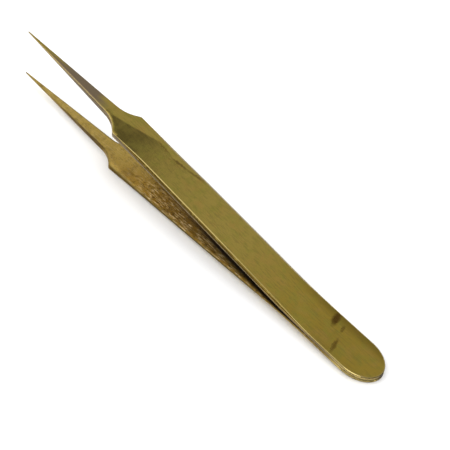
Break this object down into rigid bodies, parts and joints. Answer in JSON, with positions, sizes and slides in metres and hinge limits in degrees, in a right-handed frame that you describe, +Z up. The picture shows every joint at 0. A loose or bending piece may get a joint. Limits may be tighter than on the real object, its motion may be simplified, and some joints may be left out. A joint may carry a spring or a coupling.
{
  "type": "stamp tongs",
  "caption": "Sprung brass tongs with flat arms joined at a rounded heel, concave shoulders and slender needle-point shanks, for lifting stamps.",
  "frame": {"origin": "centre of the tool's outline on the surface it lies on: the heel's end and the root of the lower arm's shank touch z = 0", "axes": "+X along the tool towards the heel, tips at -X; +Z up; +Y across the width"},
  "size_m": [0.1202, 0.0098, 0.0152],
  "materials": {
    "upper_arm_brass": "polished outside, satin inside",
    "lower_arm_brass": "satin inside, polished outside",
    "braze": "satin"
  },
  "bodies": {
    "heel": {"upper_arm_heel": "upper_arm_brass", "lower_arm_heel": "lower_arm_brass", "heel_braze": "braze"},
    "upper_arm": {"upper_arm_blade": "upper_arm_brass"},
    "lower_arm": {"lower_arm_blade": "lower_arm_brass"}
  },
  "joints": [
    {"name": "upper_arm_flex", "type": "hinge", "parent": "heel", "child": "upper_arm", "pos_m": [0.03415, 0, 0.0029], "axis": [0, -1, 0], "range_deg": [0, 3.98], "stiffness_Nm_per_rad": 1.4},
    {"name": "lower_arm_flex", "type": "hinge", "parent": "heel", "child": "lower_arm", "pos_m": [0.03409, 0, 0.00202], "axis": [0, 1, 0], "range_deg": [0, 3.98], "stiffness_Nm_per_rad": 1.4}
  ],
  "couplings": [
    {"joint": "upper_arm_flex", "follows": "lower_arm_flex", "ratio": 1}
  ]
}
